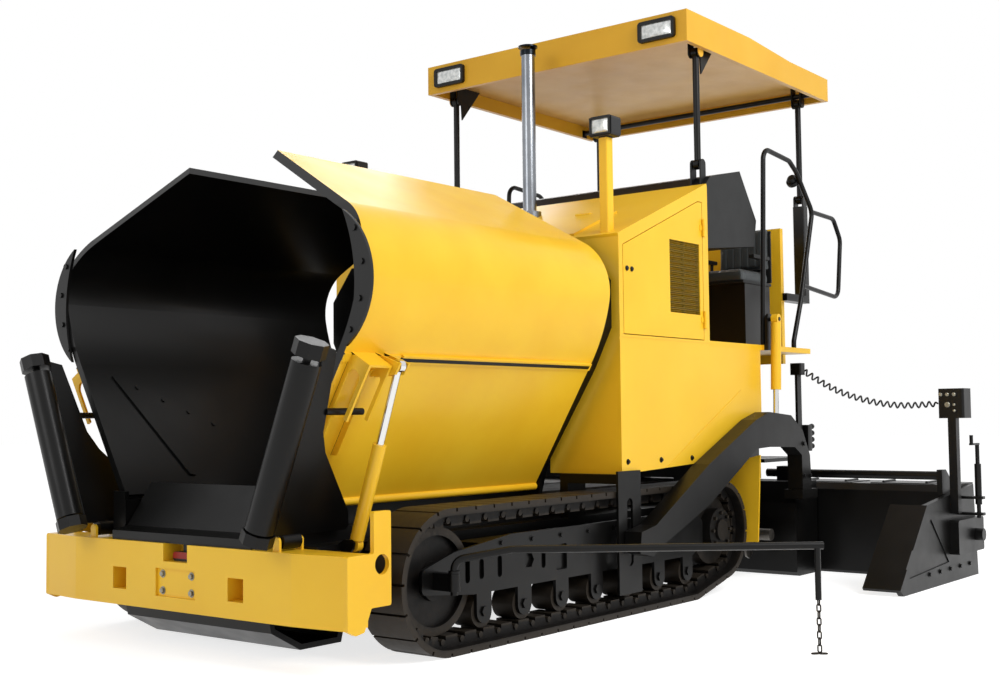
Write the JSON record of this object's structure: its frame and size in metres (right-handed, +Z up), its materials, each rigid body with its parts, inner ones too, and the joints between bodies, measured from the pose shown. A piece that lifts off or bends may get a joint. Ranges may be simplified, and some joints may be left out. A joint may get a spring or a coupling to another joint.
{
  "type": "construction machine/asphalt paver",
  "caption": "Tracked asphalt paver with a folding-wing hopper, operator's platform under a canopy, augers and an extending screed.",
  "frame": {"origin": "on the ground, under the middle of the whole machine's length and width", "axes": "+X is the way the machine travels, +Y is its left side, +Z is up"},
  "size_m": [6.2, 5.6054, 4.09],
  "materials": {
    "yellow_paint": "semi-gloss",
    "black_paint": "satin",
    "track_steel": "worn",
    "bare_steel": "brushed",
    "chrome_rod": "polished",
    "console_plastic": "matt",
    "seat_cover": "matt",
    "cord_rubber": "matt",
    "exhaust_steel": "satin"
  },
  "bodies": {
    "tractor": {"front_beam": "yellow_paint", "tow_hook": "bare_steel", "chassis": "black_paint", "belly_plate": "black_paint", "track_left": "track_steel", "track_right": "track_steel", "track_frames": "black_paint", "track_wheels": "track_steel", "hopper_base": "black_paint", "conveyors": "bare_steel", "hopper_apron": "black_paint", "hopper_bulkhead": "black_paint", "body_panels": "yellow_paint", "hood": "yellow_paint", "engine_block": "black_paint", "exhaust": "exhaust_steel", "light_masts": "yellow_paint", "platform": "black_paint", "console": "console_plastic", "seats": "seat_cover", "handrails": "black_paint", "auger_frame": "black_paint"},
    "hood_lid": {"hood_lid": "yellow_paint"},
    "canopy_front": {"canopy_front_posts": "black_paint"},
    "canopy_rear": {"canopy_rear_posts": "black_paint"},
    "canopy_roof": {"canopy_roof": "yellow_paint"},
    "screed": {"tow_arms": "black_paint", "screed_body": "black_paint", "screed_walkway": "black_paint", "curly_cord_left": "cord_rubber"},
    "lift_barrels": {"lift_barrels": "yellow_paint"},
    "lift_rods": {"lift_rods": "chrome_rod"},
    "wing_left": {"wing_left": "yellow_paint"},
    "wing_barrel_left": {"wing_barrel_left": "yellow_paint"},
    "wing_rod_left": {"wing_rod_left": "chrome_rod"},
    "guard_arm_left": {"guard_arm_left": "black_paint"},
    "guard_roller_left": {"guard_roller_left": "black_paint"},
    "engine_door_left": {"engine_door_left": "yellow_paint"},
    "auger_left": {"auger_left": "bare_steel"},
    "guide_rod_left": {"guide_rod_left": "black_paint"},
    "extension_left": {"screed_extension_left": "black_paint", "end_gate_left": "black_paint"},
    "wing_right": {"wing_right": "yellow_paint"},
    "wing_barrel_right": {"wing_barrel_right": "yellow_paint"},
    "wing_rod_right": {"wing_rod_right": "chrome_rod"},
    "guard_arm_right": {"guard_arm_right": "black_paint"},
    "guard_roller_right": {"guard_roller_right": "black_paint"},
    "engine_door_right": {"engine_door_right": "yellow_paint"},
    "auger_right": {"auger_right": "bare_steel"},
    "guide_rod_right": {"guide_rod_right": "black_paint"},
    "extension_right": {"screed_extension_right": "black_paint", "end_gate_right": "black_paint"}
  },
  "joints": [
    {"name": "wing_left_fold", "type": "hinge", "parent": "tractor", "child": "wing_left", "pos_m": [1.7, 0.67, 0.8], "axis": [-1, 0, 0], "range_deg": [0, 59.5]},
    {"name": "wing_barrel_left_pivot", "type": "hinge", "parent": "tractor", "child": "wing_barrel_left", "pos_m": [2.5, 0.943, 0.6], "axis": [-1, 0, 0], "range_deg": [0, 66.1]},
    {"name": "wing_rod_left_slide", "type": "slide", "parent": "wing_barrel_left", "child": "wing_rod_left", "axis": [0, 0.3209, 0.9471], "range_m": [-0.325, 0]},
    {"name": "guard_arm_left_pivot", "type": "hinge", "parent": "tractor", "child": "guard_arm_left", "pos_m": [2.805, 0.765, 0.635], "axis": [-1, 0, 0], "range_deg": [0, 58.1]},
    {"name": "guard_roller_left_turn", "type": "hinge", "parent": "guard_arm_left", "child": "guard_roller_left", "pos_m": [3.015, 0.765, 0.635], "axis": [0, 0.3795, 0.9252], "continuous": true},
    {"name": "engine_door_left_hinge", "type": "hinge", "parent": "tractor", "child": "engine_door_left", "pos_m": [-0.617, 1.262, 2.1], "axis": [0, 0, 1], "range_deg": [0, 100]},
    {"name": "extension_left_slide", "type": "slide", "parent": "screed", "child": "extension_left", "axis": [0, 1, 0], "range_m": [-0.8, 0], "deforming": ["curly_cord_left"]},
    {"name": "auger_left_turn", "type": "hinge", "parent": "tractor", "child": "auger_left", "pos_m": [-1.775, 0.6, 0.33], "axis": [0, 1, 0], "continuous": true},
    {"name": "guide_rod_left_swing", "type": "hinge", "parent": "tractor", "child": "guide_rod_left", "pos_m": [2.155, 1.31, 0.4], "axis": [0, 0, 1], "range_deg": [-38, 37]},
    {"name": "wing_right_fold", "type": "hinge", "parent": "tractor", "child": "wing_right", "pos_m": [1.7, -0.67, 0.8], "axis": [1, 0, 0], "range_deg": [0, 59.5]},
    {"name": "wing_barrel_right_pivot", "type": "hinge", "parent": "tractor", "child": "wing_barrel_right", "pos_m": [2.5, -0.943, 0.6], "axis": [1, 0, 0], "range_deg": [0, 66.1]},
    {"name": "wing_rod_right_slide", "type": "slide", "parent": "wing_barrel_right", "child": "wing_rod_right", "axis": [0, -0.3209, 0.9471], "range_m": [-0.325, 0]},
    {"name": "guard_arm_right_pivot", "type": "hinge", "parent": "tractor", "child": "guard_arm_right", "pos_m": [2.805, -0.765, 0.635], "axis": [1, 0, 0], "range_deg": [0, 58.1]},
    {"name": "guard_roller_right_turn", "type": "hinge", "parent": "guard_arm_right", "child": "guard_roller_right", "pos_m": [3.015, -0.765, 0.635], "axis": [0, -0.3795, 0.9252], "continuous": true},
    {"name": "engine_door_right_hinge", "type": "hinge", "parent": "tractor", "child": "engine_door_right", "pos_m": [-0.617, -1.262, 2.1], "axis": [0, 0, -1], "range_deg": [0, 100]},
    {"name": "extension_right_slide", "type": "slide", "parent": "screed", "child": "extension_right", "axis": [0, -1, 0], "range_m": [-0.8, 0]},
    {"name": "auger_right_turn", "type": "hinge", "parent": "tractor", "child": "auger_right", "pos_m": [-1.775, -0.6, 0.33], "axis": [0, 1, 0], "continuous": true},
    {"name": "guide_rod_right_swing", "type": "hinge", "parent": "tractor", "child": "guide_rod_right", "pos_m": [2.155, -1.31, 0.4], "axis": [0, 0, -1], "range_deg": [-38, 37]},
    {"name": "hood_lid_hinge", "type": "hinge", "parent": "tractor", "child": "hood_lid", "pos_m": [-0.10939, 0, 2.64198], "axis": [0, -1, 0], "range_deg": [0, 65]},
    {"name": "canopy_fold", "type": "hinge", "parent": "tractor", "child": "canopy_front", "pos_m": [-0.805, 0, 3.03], "axis": [0, 1, 0], "range_deg": [-60, 0]},
    {"name": "canopy_roof_level", "type": "hinge", "parent": "canopy_front", "child": "canopy_roof", "pos_m": [-0.805, 0, 3.84], "axis": [0, 1, 0], "range_deg": [0, 60]},
    {"name": "canopy_rear_fold", "type": "hinge", "parent": "tractor", "child": "canopy_rear", "pos_m": [-2.735, 0, 3.03], "axis": [0, 1, 0], "range_deg": [-60, 0]},
    {"name": "screed_lift", "type": "hinge", "parent": "tractor", "child": "screed", "pos_m": [0.405, 0, 0.45], "axis": [0, 1, 0], "range_deg": [0, 4.5]},
    {"name": "lift_barrel_pivot", "type": "hinge", "parent": "tractor", "child": "lift_barrels", "pos_m": [-1.545, 0, 1.95], "axis": [0, 1, 0], "range_deg": [-6.65, 0]},
    {"name": "lift_rod_slide", "type": "slide", "parent": "lift_barrels", "child": "lift_rods", "axis": [0.0526, 0, -0.9986], "range_m": [-0.1405, 0]}
  ],
  "couplings": [
    {"joint": "wing_barrel_left_pivot", "follows": "wing_left_fold", "ratio": 1.109},
    {"joint": "wing_rod_left_slide", "follows": "wing_left_fold", "m_per_rad": -0.3122},
    {"joint": "guard_arm_left_pivot", "follows": "wing_left_fold", "ratio": 0.975},
    {"joint": "wing_barrel_right_pivot", "follows": "wing_right_fold", "ratio": 1.109},
    {"joint": "wing_rod_right_slide", "follows": "wing_right_fold", "m_per_rad": -0.3122},
    {"joint": "guard_arm_right_pivot", "follows": "wing_right_fold", "ratio": 0.975},
    {"joint": "canopy_roof_level", "follows": "canopy_fold", "ratio": -1},
    {"joint": "canopy_rear_fold", "follows": "canopy_fold", "ratio": 1},
    {"joint": "lift_barrel_pivot", "follows": "screed_lift", "ratio": -1.4735},
    {"joint": "lift_rod_slide", "follows": "screed_lift", "m_per_rad": -1.781}
  ]
}
